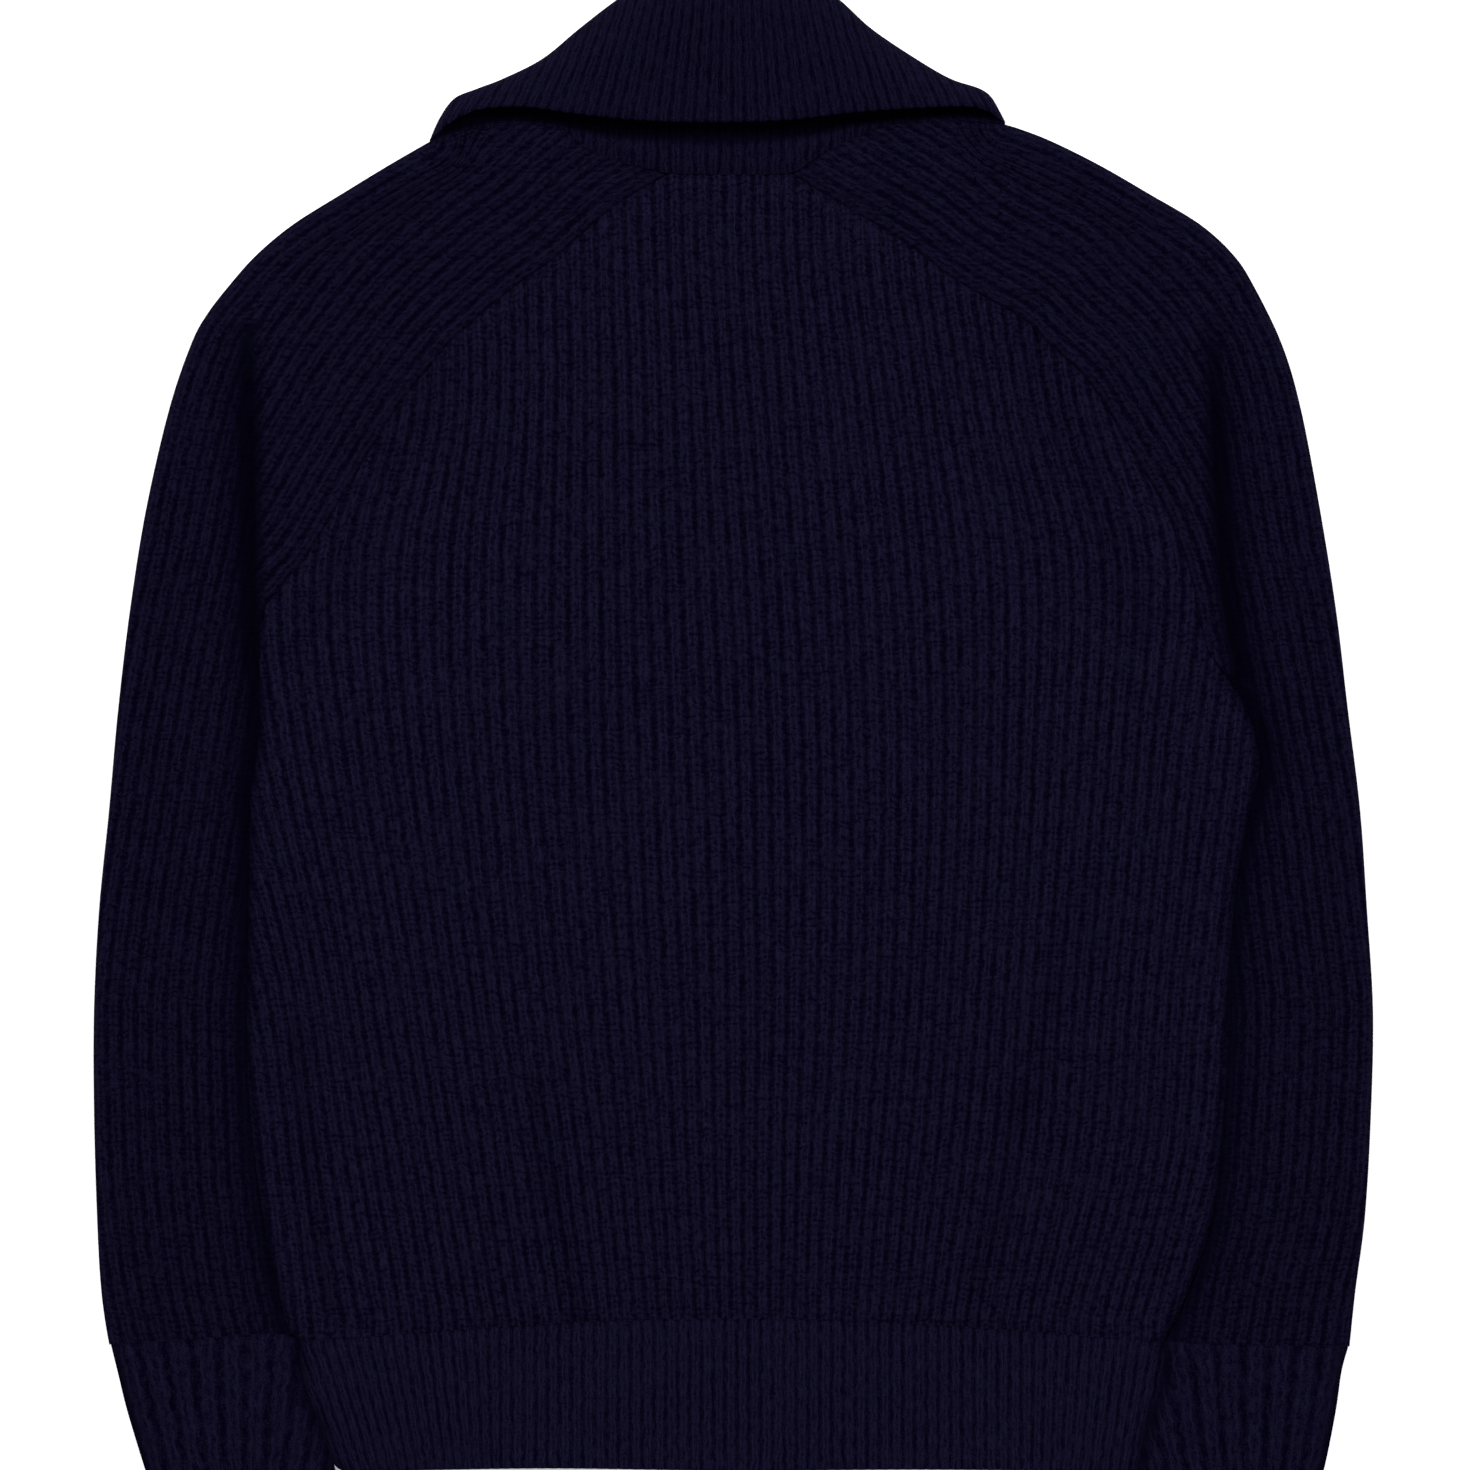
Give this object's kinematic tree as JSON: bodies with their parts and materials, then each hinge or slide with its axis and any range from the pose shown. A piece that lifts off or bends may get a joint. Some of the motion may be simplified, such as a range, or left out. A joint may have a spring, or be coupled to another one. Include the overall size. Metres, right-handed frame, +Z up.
{
  "type": "zip neck sweater laid flat face down",
  "caption": "Chunky rib-knit sweater with raglan sleeves, folded collar and zip neck, laid flat face down with its back panel up.",
  "frame": {"origin": "centre of the outline on the surface that the sweater lies on", "axes": "+X across the garment to the right as it is seen, +Y from the hem towards the collar, +Z up off the surface"},
  "size_m": [0.664, 0.8057, 0.025],
  "materials": {
    "body_knit": "matt navy wool, half-cardigan knit with deep ribs",
    "rib_knit": "matt navy wool, close rib knit",
    "zip_tape": "navy woven zip tape",
    "zip_metal": "dark gunmetal zip parts, satin"
  },
  "bodies": {
    "garment": {"back": "body_knit", "front": "body_knit", "sleeve_left": "body_knit", "sleeve_right": "body_knit", "cuff_left": "rib_knit", "cuff_right": "rib_knit", "hem": "rib_knit", "collar": "rib_knit", "collar_front_left": "rib_knit", "collar_front_right": "rib_knit", "zip_tape_left": "zip_tape", "zip_tape_right": "zip_tape", "zip_stop": "zip_metal", "zip_slider": "zip_metal"},
    "pull_tab": {"zip_pull_tab": "zip_metal"}
  },
  "joints": [
    {"name": "pull_tab_swing", "type": "hinge", "parent": "garment", "child": "pull_tab", "pos_m": [0, 0.3405, 0.00175], "axis": [1, 0, 0], "range_deg": [0, 170]}
  ]
}
